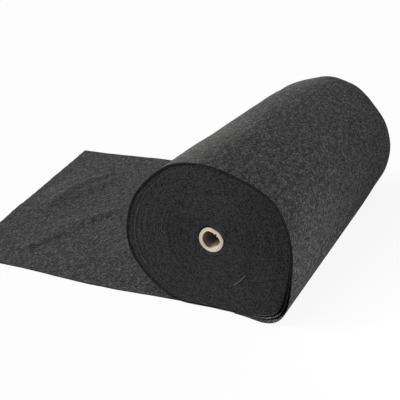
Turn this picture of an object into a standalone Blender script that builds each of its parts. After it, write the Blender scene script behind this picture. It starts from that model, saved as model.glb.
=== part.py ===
"""Geotextile roll: a sagged roll of needled felt on a loose board core, with its lead laid out.

Metres, +Z up. The origin is on the floor under the roll's turning axis, at mid-length.
+Y runs along the roll, away from the face that shows the core's torn mouth.
The lead lies towards -X. The roll rolls away from it, towards +X.
"""
import math

import bmesh
import bpy
from mathutils import Matrix, Vector

# Web, the felt sheet
web_width = 1.700
felt_thickness = 0.0035
layer_gap = 0.0005
turn_pitch = felt_thickness + layer_gap

# Roll, as it has sagged on the floor
roll_width = 0.770
roll_height = 0.668
axis_from_left = 0.404
turn_axis_height = 0.334
lift_off_reach = 0.100
loose_turns = 3
sagged_wall_least = 0.100
running_gap = 0.0010

# Loose pocket at the roll's lower right, and the turns that stand out of its end there
pocket_gap = 0.011
end_step_outer = 0.030
end_step_middle = 0.014
end_step_inner = 0.004

# Far end, where the roll has slumped out of its even outline: inward, or outward below zero
slump_depths = (0.024, 0.024, -0.018)
slump_reach = 0.450

# Core, wound from board plies
core_bore_diameter = 0.0800
liner_ply_thickness = 0.0012
inner_board_thickness = 0.0063
outer_board_thickness = 0.0063
cover_ply_thickness = 0.0012
core_length = web_width
ply_gap = 0.0003
hole_slack = 0.0040
seat_gap = 0.0003
core_rest_angle_deg = -41.0

# Dent in the core's near mouth, which dies out along the core
dent_depth = 0.0060
dent_length = 0.050
dent_middle_deg = 50.0
dent_half_deg = 38.0

# Torn mouth of the core's liner
tear_depth = 0.0030
tear_length = 0.009
tear_middle_deg = 35.0
tear_half_deg = 75.0
tear_teeth = (11, 23)

# Lead, the sheet that lies on the floor
lead_length = 1.778
end_skew = 0.358
flap_hinge_reach = 1.150
hinge_rise = 0.0120
slit_gap = 0.0003
edge_wander = 0.010
wander_length = 1.020
wander_start = -0.090
lead_flat_reach = 0.440
ridge_fade_length = 0.180

# Soft ridges in the lead: place as shares of the reach and the half width, then sizes
ridge_shares = ((0.835, 0.30), (0.725, 0.26), (0.630, -0.34), (0.470, -0.10), (0.900, -0.35))
ridge_lengths = (0.62, 0.50, 0.80, 0.55, 0.45)
ridge_widths = (0.085, 0.070, 0.080, 0.075, 0.080)
ridge_heights = (0.0070, 0.0045, 0.0065, 0.0035, 0.0050)
ridge_tilts_deg = (6.0, 10.0, 20.0, 14.0, 12.0)

# Mesh densities
outline_steps = 80
circle_steps = 96
core_steps = 64
dent_steps = 4
lead_rows = 22
lead_columns = 18
flap_rows = 12
samples_per_span = 40
slump_spans = 2

half_width = web_width / 2.0
turn_axis = Vector((0.0, 0.0, turn_axis_height))
board_thicknesses = (liner_ply_thickness, inner_board_thickness, outer_board_thickness, cover_ply_thickness)
core_radius = core_bore_diameter / 2.0 + sum(board_thicknesses) + ply_gap * (len(board_thicknesses) - 1)
hole_radius = core_radius + hole_slack
core_rest_angle = math.radians(core_rest_angle_deg)
core_drop = hole_slack - seat_gap
core_axis = turn_axis + core_drop * Vector((math.cos(core_rest_angle), 0.0, math.sin(core_rest_angle)))
flap_hinge = Vector((-flap_hinge_reach, 0.0, hinge_rise))

# Outline of the sagged roll seen from -Y, anticlockwise from the floor: shares of its width and height
outline_shares = (
    (0.50, 0.0), (0.65, 0.0), (0.83, 0.0), (0.918, 0.026), (0.965, 0.085), (0.986, 0.180),
    (0.994, 0.307), (1.0, 0.460), (0.985, 0.592), (0.947, 0.719), (0.886, 0.822), (0.796, 0.890),
    (0.688, 0.942), (0.567, 0.985), (0.447, 1.0), (0.319, 0.980), (0.224, 0.924), (0.128, 0.829),
    (0.062, 0.731), (0.018, 0.607), (0.0, 0.475), (0.008, 0.366), (0.042, 0.260), (0.109, 0.154),
    (0.192, 0.073), (0.275, 0.018), (0.358, 0.0),
)
ramp_end_share = 0.75
pocket_shares = (0.020, 0.220)
end_step_shares = (-0.010, 0.165)
tear_jag_shares = (0.5, 0.3, 0.2)
slump_shares = ((0.420, 0.660), (0.245, 0.385), (0.090, 0.280))


def clear_scene():
    for old in list(bpy.data.objects):
        bpy.data.objects.remove(old, do_unlink=True)


def material(name, colour, roughness):
    made = bpy.data.materials.new(name)
    made.use_nodes = True
    shader = made.node_tree.nodes["Principled BSDF"]
    shader.inputs["Base Color"].default_value = (*colour, 1.0)
    shader.inputs["Roughness"].default_value = roughness
    shader.inputs["Metallic"].default_value = 0.0
    return made


def smooth_step(value):
    value = min(max(value, 0.0), 1.0)
    return value * value * (3.0 - 2.0 * value)


def swell(value, start, end):
    """A soft hump that is nothing at start and end and one half way."""
    if value <= start or value >= end:
        return 0.0
    return math.sin(math.pi * (value - start) / (end - start)) ** 2


class Outline:
    """The roll's outline as a closed curve, walked by a share of its length from the lift-off point."""

    def __init__(self):
        corners = [(share_x * roll_width - axis_from_left, share_z * roll_height)
                   for share_x, share_z in outline_shares]
        dense = []
        count = len(corners)
        for index in range(count):
            before, here = corners[index - 1], corners[index]
            after, beyond = corners[(index + 1) % count], corners[(index + 2) % count]
            for step in range(samples_per_span):
                dense.append(spline_point(before, here, after, beyond, step / samples_per_span))
        start = min((index for index, point in enumerate(dense) if point[0] >= lift_off_reach),
                    key=lambda index: dense[index][1])
        dense = dense[start:] + dense[:start]
        dense.append(dense[0])
        self.points = dense
        self.lengths = [0.0]
        for first, second in zip(dense, dense[1:]):
            self.lengths.append(self.lengths[-1] + math.dist(first, second))
        self.total = self.lengths[-1]

    def place(self, share):
        target = (share % 1.0) * self.total
        low, high = 0, len(self.lengths) - 1
        while high - low > 1:
            middle = (low + high) // 2
            if self.lengths[middle] <= target:
                low = middle
            else:
                high = middle
        part = (target - self.lengths[low]) / max(self.lengths[high] - self.lengths[low], 1e-12)
        first, second = self.points[low], self.points[high]
        return (first[0] + (second[0] - first[0]) * part, first[1] + (second[1] - first[1]) * part)

    def offset(self, share, inward):
        """A point that lies inward of the outline, square to it."""
        reach = 1.0 / outline_steps
        here = self.place(share)
        ahead, behind = self.place(share + reach), self.place(share - reach)
        run, rise = ahead[0] - behind[0], ahead[1] - behind[1]
        size = math.hypot(run, rise)
        return (here[0] - rise / size * inward, here[1] + run / size * inward)


def spline_point(before, here, after, beyond, part):
    """Catmull-Rom between here and after, kept above the floor."""
    found = []
    for axis in range(2):
        p0, p1, p2, p3 = before[axis], here[axis], after[axis], beyond[axis]
        found.append(0.5 * (2.0 * p1 + (p2 - p0) * part + (2.0 * p0 - 5.0 * p1 + 4.0 * p2 - p3) * part ** 2
                            + (3.0 * p1 - p0 - 3.0 * p2 + p3) * part ** 3))
    return (found[0], max(found[1], 0.0))


def turn_offset(turn, share, place_y):
    """How far inward a turn's outer face lies: it steps in by one pitch before it meets the lead."""
    climb = turn_pitch * (turn + smooth_step(share / ramp_end_share))
    opened = pocket_gap * min(turn, loose_turns - 1) * swell(share, *pocket_shares)
    return climb + opened + slump(share, place_y)


def slump(share, place_y):
    """The far end's dents and bulge, which die out along the roll."""
    near_far_end = smooth_step(1.0 - (half_width - place_y) / slump_reach)
    return near_far_end * sum(depth * swell(share, *limits) for depth, limits in zip(slump_depths, slump_shares))


def end_step(turn, share):
    """How far a turn stands out of the roll's near end."""
    steps = (end_step_outer, end_step_middle, end_step_inner)
    centred = share if share < 0.5 else share - 1.0
    return steps[min(turn, len(steps) - 1)] * swell(centred, *end_step_shares)


def wander(place_x):
    """Sideways wander of the web's two edges along the lead."""
    return edge_wander * math.cos(math.tau * (place_x - wander_start) / wander_length)


def lead_rise(place_x, place_y):
    """Height of the lead's underside: soft ridges that die out before the roll."""
    height = 0.0
    rows = zip(ridge_shares, ridge_lengths, ridge_widths, ridge_heights, ridge_tilts_deg)
    for (share_x, share_y), length, width, top, tilt in rows:
        turn = math.radians(tilt)
        run, side = place_x + share_x * lead_length, place_y - share_y * half_width
        across = run * math.cos(turn) - side * math.sin(turn)
        along = run * math.sin(turn) + side * math.cos(turn)
        height += top * swell(across, -width, width) * swell(along, -length / 2.0, length / 2.0)
    fade = smooth_step((-place_x - lead_flat_reach) / ridge_fade_length)
    return height * fade


def free_end(share_y):
    """Where the lead's skewed free end lies, from its near corner at 0 to its far corner at 1."""
    return -lead_length + end_skew * (1.0 - share_y)


def finish(name, mesh_edit, finish_material, pivot=None, smooth_deg=40.0):
    """Close the bmesh into an object whose origin is on its joint's axis."""
    bmesh.ops.recalc_face_normals(mesh_edit, faces=mesh_edit.faces)
    mesh = bpy.data.meshes.new(name)
    mesh_edit.to_mesh(mesh)
    mesh_edit.free()
    place = Vector(pivot) if pivot is not None else Vector((0.0, 0.0, 0.0))
    mesh.transform(Matrix.Translation(-place))
    mesh.materials.append(finish_material)
    mesh.shade_smooth()
    mesh.set_sharp_from_angle(angle=math.radians(smooth_deg))
    made = bpy.data.objects.new(name, mesh)
    bpy.context.collection.objects.link(made)
    made.location = place
    return made


def sheet_solid(rows, columns, place):
    """A sheet of felt as a grid that is extruded down by its thickness. place gives x, y, top z."""
    edit = bmesh.new()
    grid = [[edit.verts.new(place(row / rows, column / columns)) for column in range(columns + 1)]
            for row in range(rows + 1)]
    for row in range(rows):
        for column in range(columns):
            edit.faces.new((grid[row][column], grid[row + 1][column],
                            grid[row + 1][column + 1], grid[row][column + 1]))
    grown = bmesh.ops.extrude_face_region(edit, geom=list(edit.faces), use_keep_orig=True)
    lower = [part for part in grown["geom"] if isinstance(part, bmesh.types.BMVert)]
    bmesh.ops.translate(edit, verts=lower, vec=(0.0, 0.0, -felt_thickness))
    return edit


def lead_sheet(felt):
    def place(along, across):
        start, end = -flap_hinge_reach + slit_gap / 2.0, lift_off_reach - slit_gap
        place_x = start + (end - start) * along
        place_y = -half_width + web_width * across
        return (place_x, place_y + wander(place_x), lead_rise(place_x, place_y) + felt_thickness)
    return finish("lead_sheet", sheet_solid(lead_rows, lead_columns, place), felt)


def lead_flap(felt):
    def place(along, across):
        start, end = free_end(across), -flap_hinge_reach - slit_gap / 2.0
        place_x = start + (end - start) * along
        place_y = -half_width + web_width * across
        return (place_x, place_y + wander(place_x), lead_rise(place_x, place_y) + felt_thickness)
    return finish("lead_flap", sheet_solid(flap_rows, lead_columns, place), felt, flap_hinge)


def stations():
    """Places along the roll where its outline is drawn: the near end, then through the slumped end."""
    slumped = [half_width - slump_reach * (1.0 - step / slump_spans) for step in range(slump_spans + 1)]
    return [-half_width] + slumped


def walled(outer, inner, closed):
    """A wall between an outer and an inner line, each given as points at every station along the roll."""
    edit = bmesh.new()
    skins = [[[edit.verts.new(point) for point in line] for line in lines] for lines in (outer, inner)]
    count, ends = len(outer[0]), (0, len(outer) - 1)
    for step in range(count if closed else count - 1):
        after = (step + 1) % count
        for skin in skins:
            for line, further in zip(skin, skin[1:]):
                edit.faces.new((line[step], line[after], further[after], further[step]))
        for end in ends:
            edit.faces.new((skins[0][end][step], skins[0][end][after],
                            skins[1][end][after], skins[1][end][step]))
    if not closed:
        for tip in (0, count - 1):
            for line in range(ends[1]):
                edit.faces.new((skins[0][line][tip], skins[0][line + 1][tip],
                                skins[1][line + 1][tip], skins[1][line][tip]))
    return edit


def outer_turns(outline, felt):
    """The outermost turns as one unbroken spiral sheet, opened into a pocket at the lower right."""
    start_share = slit_gap / outline.total
    end_share = loose_turns - start_share
    count = outline_steps * loose_turns
    outer, inner = [], []
    for place_y in stations():
        outer.append([])
        inner.append([])
        for step in range(count + 1):
            wound = start_share + (end_share - start_share) * step / count
            turn = min(int(wound), loose_turns - 1)
            share = wound - turn
            depth = turn_offset(turn, share, place_y)
            shifted = place_y - end_step(turn, share)
            for skin, inward in ((outer, depth), (inner, depth + felt_thickness)):
                place_x, place_z = outline.offset(share, inward)
                skin[-1].append((place_x, shifted, place_z))
    print_least_gap(outer[0], inner[0])
    return finish("outer_turns", walled(outer, inner, closed=False), felt)


def print_least_gap(outer, inner):
    """The least distance from one turn's inner face to the next turn's outer face."""
    least = roll_width
    for index, point in enumerate(inner):
        first = index + outline_steps // 2
        last = min(index + outline_steps + outline_steps // 2, len(outer) - 1)
        for step in range(first, last):
            least = min(least, point_to_segment(point, outer[step], outer[step + 1]))
    print("least gap of outer_turns to itself: %.2f mm" % (least * 1000.0))


def point_to_segment(point, first, second):
    run, rise = second[0] - first[0], second[2] - first[2]
    part = ((point[0] - first[0]) * run + (point[2] - first[2]) * rise) / (run * run + rise * rise)
    part = min(max(part, 0.0), 1.0)
    return math.dist((point[0], point[2]), (first[0] + run * part, first[2] + rise * part))


def package_lines(outline):
    """The sagged layers inside the spiral, with one step where the spiral's inner end butts on them."""
    lines = []
    for place_y in stations():
        line = []
        for step in range(outline_steps + 1):
            share = step / outline_steps
            place_x, place_z = outline.offset(share, turn_offset(loose_turns, share, place_y))
            line.append((place_x, place_y, place_z))
        lines.append(line)
    return lines


def ring_radius(package):
    """The round heart, which turns, is as large as the sagged layers leave room for."""
    reach = min(math.dist((point[0], point[2]), (turn_axis.x, turn_axis.z)) for line in package for point in line)
    return reach - sagged_wall_least


def on_circle(angle, radius, place_y):
    return (turn_axis.x + radius * math.cos(angle), place_y, turn_axis.z + radius * math.sin(angle))


def sagged_layers(package, bore_radius, felt_edge):
    angles = [math.atan2(point[2] - turn_axis.z, point[0] - turn_axis.x) for point in package[0]]
    inner = [[on_circle(angle, bore_radius, line[0][1]) for angle in angles] for line in package]
    return finish("sagged_layers", walled(package, inner, closed=True), felt_edge)


def round_layers(radius, felt_edge):
    outer, inner = [[[on_circle(math.tau * step / circle_steps, size, place_y) for step in range(circle_steps)]
                     for place_y in (-half_width, half_width)] for size in (radius, hole_radius)]
    return finish("round_layers", walled(outer, inner, closed=True), felt_edge, turn_axis)


def core_ply(name, inner_radius, thickness, board, torn=False):
    """One ply of the core, spun round its axis and dented. A torn one has its near mouth frayed into the bore."""
    edit = bmesh.new()
    near_end, outer_radius = -core_length / 2.0, inner_radius + thickness
    places = [near_end + dent_length * step / dent_steps for step in range(dent_steps + 1)] + [core_length / 2.0]
    corners = [(inner_radius, place) for place in places] + [(outer_radius, place) for place in places[::-1]]
    profile = [edit.verts.new((radius, place, 0.0)) for radius, place in corners]
    edges = [edit.edges.new((first, second)) for first, second in zip(profile, profile[1:] + profile[:1])]
    bmesh.ops.spin(edit, geom=profile + edges, cent=(0.0, 0.0, 0.0), axis=(0.0, 1.0, 0.0),
                   angle=math.tau, steps=core_steps, use_merge=True)
    bmesh.ops.remove_doubles(edit, verts=edit.verts, dist=ply_gap / 10.0)
    if torn:
        fray(edit, inner_radius, thickness)
    dent(edit)
    bmesh.ops.translate(edit, verts=edit.verts, vec=core_axis)
    return finish(name, edit, board, core_axis)


def degrees_from(vertex, middle_deg):
    """How far round the core's axis a vertex lies from a direction in its cross-section."""
    return math.degrees(math.atan2(vertex.co.z, vertex.co.x)) - middle_deg


def dent(edit):
    """Push the near mouth inward, all plies alike, least far down the core."""
    for vertex in edit.verts:
        near = max(1.0 - (vertex.co.y + core_length / 2.0) / dent_length, 0.0)
        push = dent_depth * near * swell(degrees_from(vertex, dent_middle_deg), -dent_half_deg, dent_half_deg)
        vertex.co -= push * Vector((vertex.co.x, 0.0, vertex.co.z)).normalized()


def fray(edit, inner_radius, thickness):
    near_end = -core_length / 2.0
    even, coarse, fine = tear_jag_shares
    for vertex in edit.verts:
        if abs(vertex.co.y - near_end) > ply_gap:
            continue
        angle = math.atan2(vertex.co.z, vertex.co.x)
        amount = swell(degrees_from(vertex, tear_middle_deg), -tear_half_deg, tear_half_deg)
        jag = even + coarse * math.sin(angle * tear_teeth[0]) + fine * math.sin(angle * tear_teeth[1])
        vertex.co.y += tear_length * amount * (1.0 - jag) + ply_gap
        if math.hypot(vertex.co.x, vertex.co.z) < inner_radius + thickness / 2.0:
            shrink = 1.0 - tear_depth * amount * jag / inner_radius
            vertex.co.x *= shrink
            vertex.co.z *= shrink


def core_plies(board, kraft):
    names = ("core_liner_ply", "core_inner_board", "core_outer_board", "core_cover_ply")
    radius = core_bore_diameter / 2.0
    made = []
    for name, thickness in zip(names, board_thicknesses):
        skin = name.endswith("ply")
        made.append(core_ply(name, radius, thickness, kraft if skin else board, torn=name == names[0]))
        radius += thickness + ply_gap
    return made


def joint_empty(name, place, parent=None):
    empty = bpy.data.objects.new(name, None)
    empty.empty_display_size = core_radius
    bpy.context.collection.objects.link(empty)
    empty.location = place
    if parent is not None:
        attach(empty, parent)
    return empty


def attach(child, parent):
    bpy.context.view_layer.update()
    child.parent = parent
    child.matrix_parent_inverse = parent.matrix_world.inverted()


def main():
    clear_scene()
    felt = material("charcoal_felt", (0.055, 0.055, 0.056), 0.95)
    felt_edge = material("felt_layer_edges", (0.030, 0.030, 0.031), 1.0)
    board = material("core_board", (0.66, 0.56, 0.43), 0.85)
    kraft = material("core_kraft", (0.58, 0.47, 0.34), 0.8)

    outline = Outline()
    package = package_lines(outline)
    radius = ring_radius(package)

    lead_sheet(felt)
    flap = lead_flap(felt)
    loose = outer_turns(outline, felt)
    sagged = sagged_layers(package, radius + running_gap, felt_edge)
    turning = round_layers(radius, felt_edge)
    plies = core_plies(board, kraft)

    travel = joint_empty("roll_travel", (0.0, 0.0, 0.0))
    turn = joint_empty("roll_turn", turn_axis, travel)
    spin = joint_empty("core_turn", core_axis, travel)
    lift = joint_empty("flap_lift", flap_hinge)
    for child, parent in ((flap, lift), (loose, travel), (sagged, travel), (turning, turn)):
        attach(child, parent)
    for ply in plies:
        attach(ply, spin)
    print("turning radius %.4f m, core axis at x %.4f z %.4f, roll outline %.3f m round"
          % (radius, core_axis.x, core_axis.z, outline.total))


main()
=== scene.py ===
import math

import bpy
import numpy as np
from mathutils import Matrix, Vector


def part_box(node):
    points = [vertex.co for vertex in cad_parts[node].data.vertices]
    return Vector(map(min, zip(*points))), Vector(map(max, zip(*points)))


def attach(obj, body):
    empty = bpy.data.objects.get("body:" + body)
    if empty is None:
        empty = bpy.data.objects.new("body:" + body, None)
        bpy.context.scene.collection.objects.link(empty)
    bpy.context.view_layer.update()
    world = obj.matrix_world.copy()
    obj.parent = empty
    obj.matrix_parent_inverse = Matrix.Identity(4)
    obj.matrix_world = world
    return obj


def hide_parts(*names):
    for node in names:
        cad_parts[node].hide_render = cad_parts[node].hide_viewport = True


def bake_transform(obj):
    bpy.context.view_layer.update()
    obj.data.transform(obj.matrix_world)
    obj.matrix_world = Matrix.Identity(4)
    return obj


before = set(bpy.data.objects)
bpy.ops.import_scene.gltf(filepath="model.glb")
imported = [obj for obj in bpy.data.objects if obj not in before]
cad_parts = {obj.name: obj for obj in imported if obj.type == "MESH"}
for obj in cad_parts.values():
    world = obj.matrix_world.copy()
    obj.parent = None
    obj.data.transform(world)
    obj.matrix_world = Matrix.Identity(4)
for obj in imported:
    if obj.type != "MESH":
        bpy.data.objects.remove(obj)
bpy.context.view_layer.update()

# A geotextile roll, dressed: its felt web wound and laid out, the ends of its layers, and its board core.
# Metres. The sizes up to the next heading are those of the solids, whose curves this file draws finer.
web_width = 1.700
felt_thickness = 0.0035
layer_gap = 0.0005
turn_pitch = felt_thickness + layer_gap
roll_width, roll_height = 0.770, 0.668
axis_from_left = 0.404
turn_axis_height = 0.334
lift_off_reach = 0.100
loose_turns = 3
running_gap = 0.0010
pocket_gap = 0.011
end_steps = (0.030, 0.014, 0.004)
slump_reach = 0.450
board_thicknesses = (0.0012, 0.0063, 0.0063, 0.0012)
core_bore_radius = 0.0400
ply_gap = 0.0003
core_drop = 0.0037
core_rest_angle = math.radians(-41.0)
lead_length = 1.778
end_skew = 0.358
slit_gap = 0.0003
edge_wander, wander_length, wander_start = 0.010, 1.020, -0.090
lead_flat_reach, ridge_fade_length = 0.440, 0.180
ridge_shares = ((0.835, 0.30), (0.725, 0.26), (0.630, -0.34), (0.470, -0.10), (0.900, -0.35))
ridge_lengths = (0.62, 0.50, 0.80, 0.55, 0.45)
ridge_widths = (0.085, 0.070, 0.080, 0.075, 0.080)
ridge_heights = (0.0070, 0.0045, 0.0065, 0.0035, 0.0050)
ridge_tilts_deg = (6.0, 10.0, 20.0, 14.0, 12.0)
outline_shares = (
    (0.50, 0.0), (0.65, 0.0), (0.83, 0.0), (0.918, 0.026), (0.965, 0.085), (0.986, 0.180),
    (0.994, 0.307), (1.0, 0.460), (0.985, 0.592), (0.947, 0.719), (0.886, 0.822), (0.796, 0.890),
    (0.688, 0.942), (0.567, 0.985), (0.447, 1.0), (0.319, 0.980), (0.224, 0.924), (0.128, 0.829),
    (0.062, 0.731), (0.018, 0.607), (0.0, 0.475), (0.008, 0.366), (0.042, 0.260), (0.109, 0.154),
    (0.192, 0.073), (0.275, 0.018), (0.358, 0.0),
)
ramp_end_share = 0.75
pocket_shares = (0.020, 0.220)
end_step_shares = (-0.010, 0.165)
samples_per_span = 40
tangent_share = 1.0 / 80.0

# Sizes worked out from those, or read from the solids
half_width = web_width / 2.0
turn_axis = np.array((0.0, turn_axis_height))
core_axis = turn_axis + core_drop * np.array((math.cos(core_rest_angle), math.sin(core_rest_angle)))
heart_low, heart_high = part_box("round_layers")
heart_radius = (heart_high.x - heart_low.x) / 2.0
core_radius = core_bore_radius + sum(board_thicknesses) + (len(board_thicknesses) - 1) * ply_gap
hole_radius = core_radius + core_drop + ply_gap

# Random draws: how many waves a noise has, how their lengths spread, and the seeds
noise_waves, noise_spread = 14, (0.7, 2.0)
free_edge_seed, lead_edge_seed, felt_lift_seed, wound_edge_seed = 21, 22, 23, 31
sagged_seed, heart_seed, core_seed, tuft_seed = 41, 51, 70, 81

# The web's own detail. A share is of the outline's length, from where the web lifts off the floor.
# Limits say where a thing starts, over how much it grows, where it ends and over how much it fades
lead_rows, lead_columns = 260, 110
wound_steps_per_turn = 210
end_places, middle_inset, middle_places = (0.0, 0.003, 0.012, 0.03, 0.06), 0.10, 29
sharp_angle_deg = 55.0
rim_bulge = 0.0006
slack_depth, slack_limits = 0.0022, (0.13, 0.10, 0.86, 0.08)
# Each wave of the slack: its seed, its length and its part
slack_waves = ((11, 0.34, 1.0), (12, 0.11, 0.35))
# The far end sinks by each depth over its shares. A flare has its rise, its shares and its reach
# along the roll
slump_depths = (0.029, 0.030, -0.020, 0.010)
slump_shares = ((0.430, 0.610), (0.235, 0.395), (0.105, 0.260), (0.050, 0.140))
flares = ((0.0085, (0.410, 0.610), (-0.900, -0.280)), (0.0110, (0.580, 0.880), (-1.300, -0.400)))
# How far the cut edges stray, over what length, and the power that keeps it to the edge
free_edge_scatter, free_edge_wave, free_edge_power = 0.0022, 0.07, 8
cut_edge_scatter, lead_edge_wave, wound_edge_wave = 0.0014, 0.16, 0.12
lead_edge_power, wound_edge_power = 12, 20
felt_lift, felt_lift_wave = 0.0007, 0.09
# Each crease: its middle, its length, its half width, its height and its tilt in degrees
creases = (
    (-1.000, -0.120, 0.56, 0.064, 0.0085, 25.0), (-1.120, -0.500, 0.64, 0.066, 0.0080, 18.0),
    (-1.410, 0.060, 0.50, 0.062, 0.0080, -2.0), (-1.385, 0.330, 0.52, 0.062, 0.0085, 17.0),
    (-1.400, 0.080, 0.95, 0.190, 0.0110, 10.0), (-0.620, -0.420, 0.60, 0.120, 0.0070, 12.0),
)

# The layers' ends and the collars. A lip's profile gives shares of its layer, and how far each lies back
end_ring_segments, heart_segments = 240, 180
sagged_layer_count = 27
lip_profile = ((0.0, 1.0), (0.14, 0.30), (0.38, 0.0), (0.66, 0.02), (0.88, 0.34))
lip_depth = 0.0015
layer_end_scatter, layer_wave_part, layer_jitter, lip_hold = 0.0010, 0.5, 0.6, 0.6
outer_wall_inset = 0.030
outline_groove_shares, outline_groove = (0.40, 0.95), 0.0020
bore_depth = 0.010
# How much of the gap round the core is left open, at these angles
hole_gap_degs = (0.0, 40.0, 70.0, 90.0, 165.0, 188.0, 230.0, 300.0, 360.0)
hole_gap_shares = (0.60, 0.75, 0.80, 1.10, 1.10, 0.40, 0.20, 0.60, 0.60)
# A collar's reach out from the core, how deep in the hole it starts and ends, and its least width.
# Behind the lip of its hole the heart is wider by the collar's room, from one depth to another
collar_reach, collar_depths, collar_least = 0.0077, (0.0036, 0.0090), 0.0006
collar_room, room_start, room_end = 0.0083, 0.0034, 0.0120

# The core's mouths. A dent has its depth, its middle and its half width in degrees
core_segments = 192
mouth_backs = (0.005, 0.012, 0.030, 0.200)
papers_per_ply = (2, 9, 9, 2)
# How far the papers stand back from one another, and how that waves round the mouth
paper_step, paper_waves, paper_jitter = 0.00022, (3, 7), 1.5
paper_profile = ((0.06, 1.5), (0.5, 0.0), (0.94, 1.5))
dent_length = 0.050
mouth_dents = ((0.0042, 40.0, 62.0), (0.0038, 74.0, 34.0))
# The liner's tear, its middle and limits in degrees. A tooth has its middle, its half width and its size
tear_middle, tear_limits = 60.0, (-34.0, 16.0, 132.0, 22.0)
tear_teeth = (
    (63.0, 9.0, 0.95), (92.0, 30.0, 0.60), (34.0, 9.0, 0.95), (20.0, 9.0, 0.50), (49.0, 5.0, 0.20),
)
fray_waves = ((0.10, 31.0, 0.0), (0.07, 53.0, 1.0))
tear_curl, tear_limit = 0.0058, 1.2
tear_back, tear_back_between, tear_back_frayed, tear_taper = 0.0010, 0.0030, 0.0015, 0.7

# Loose fibres: how many stand on a square metre, how long they are, how far they turn and how far they lift
stray_radius, stray_bow, stray_least = 0.00022, 0.12, 0.35
stray_points, stray_sides = 4, 3
long_fibres = {"Density": 900.0, "Length": 0.026, "Spread": 0.9, "Tilt": 0.10}
short_fibres = {"Density": 2600.0, "Length": 0.012, "Spread": 1.2, "Tilt": 0.6}
lead_fuzz_end = -roll_width / 3.0
roll_fuzz_floor = 0.018
# A wisp of lint on the near face: its path in x and height, its fibres, and how they spread and wave
tuft_path = (
    (0.101, 0.136), (0.116, 0.147), (0.126, 0.157), (0.135, 0.165), (0.147, 0.180), (0.160, 0.197),
)
tuft_fibres, tuft_steps, tuft_sides = 44, 18, 3
tuft_spread, tuft_waist, tuft_lift, tuft_least_lift = 0.0044, 0.35, 0.0020, 0.4
tuft_starts, tuft_ends, tuft_waves, tuft_shades = (-0.05, 0.45), (0.55, 1.05), (0.6, 1.8), (0.05, 0.50)

# Finishes, as linear colours
felt_dark = (0.003, 0.003, 0.003)
felt_pale = (0.0190, 0.0190, 0.0190)
felt_fibre = (0.345, 0.345, 0.345)
# Painted highlight: the pale colour laid on the roll's left shoulder near its end, where the light from the
# left falls strongest
shoulder_painted_highlight = (0.22, 0.215, 0.20)
edge_dark = (0.006, 0.006, 0.006)
edge_pale = (0.082, 0.082, 0.082)
rim_dark, rim_pale = (0.006, 0.006, 0.006), (0.020, 0.020, 0.020)
board_pale = (0.90, 0.845, 0.74)
board_deep = (0.74, 0.66, 0.53)
kraft_pale = (0.225, 0.19, 0.15)
kraft_deep = (0.15, 0.122, 0.095)
# Painted light: the pale colour of a pool of light on the bore's lower right, near its mouth
painted_light_kraft = (0.92, 0.82, 0.64)
# Painted shade: the near black of the cover's outer skin, seen only in the dark gap round the core
painted_shade_skin = (0.008, 0.007, 0.006)
stray_dark, stray_pale = (0.05, 0.05, 0.05), (0.36, 0.36, 0.355)
short_dark, short_pale = (0.02, 0.02, 0.02), (0.15, 0.15, 0.15)

# Clouds in the finishes: the scale, detail and roughness of their noise, and the two values that it is
# stretched between
felt_clumps = (48.0, 3.0, 0.60, 0.38, 0.68)
felt_clouds = (16.0, 4.0, 0.60, 0.32, 0.68)
felt_mottle = (130.0, 2.0, 0.62, 0.32, 0.68)
felt_specks = (400.0, 1.5, 0.60, 0.36, 0.64)
felt_grain = (900.0, 2.0, 0.60, 0.30, 0.70)
# The noise that breaks up the painted highlight on the roll's shoulder
painted_highlight_breaks = (40.0, 4.0, 0.65, 0.35, 0.65)
edge_strands = (1.0, 2.0, 0.60, 0.37, 0.63)
edge_patches = (1.0, 2.0, 0.50, 0.30, 0.70)
board_pulp = (60.0, 4.0, 0.60, 0.30, 0.70)
board_flecks = (700.0, 2.0, 0.70, 0.56, 0.72)

# The felt's fibres, by size: length, width, weight and headings
fibre_sizes = (
    (0.026, 0.0024, 0.90, (0.60, 1.25, 1.90, 2.55)),
    (0.018, 0.0019, 1.00, (0.25, 0.95, 1.60, 2.25, 2.90)),
    (0.011, 0.0014, 0.90, (0.00, 0.80, 1.57, 2.35)),
)
fibre_fill, fibre_rarity = 0.42, 6.0
fibre_curl_noise, fibre_curl = (38.0, 1.0, 0.5), 0.014
cross_draw, clump_least = 0.45, 0.36
felt_amounts = {"Fibres": 1.23, "Mottle": 0.2, "Clouds": 1.1, "Specks": 3.2}
grain_share, ground_tone, felt_roughness = 0.2, 0.11, (0.88, 1.0)
fibre_height, grain_height, mottle_height = 0.8, 0.25, 0.3
# Painted highlight on the roll's left shoulder: its middle and reach in the web's flat coordinates, how it
# fades, and its share
painted_highlight_middle, painted_highlight_reach, painted_highlight_fade, painted_highlight_share = (1.340, -0.560), (0.20, 0.60), (0.1, 1.0), 0.35

# The other finishes' shades
edge_speckle_scale, rim_speckle_scales = 280.0, (60.0, 400.0, 1.0)
edge_patch_stretch, edge_patch_share = (0.22, 0.10, 0.22), 0.3
groove_starts, groove_shade = (0.34, 0.50), -0.16
# Painted shade: deeper into the roll than these, the layer ends and the hole's walls darken to this share
crack_depths, crack_shade = (0.0045, 0.0090), 0.05
# Painted shade: the layer ends darken toward the right, away from the light from the left, between these two
# places
painted_side_shade_places, painted_side_shades = (0.05, 0.32), (1.04, 0.72)
fleck_share, pulp_share, paper_shade = 0.45, 0.5, -0.16
paper_pitch = 0.0008
seam_pitch, seam_half, seam_shade = 0.120, 0.012, -2.0
# Painted light in the bore: the way to its middle, how deep it reaches, and the shares of the bore's radius
# over which it grows
painted_light_angle, painted_light_depth, painted_light_shares = math.radians(-52.0), 0.200, (0.50, 0.86)

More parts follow.
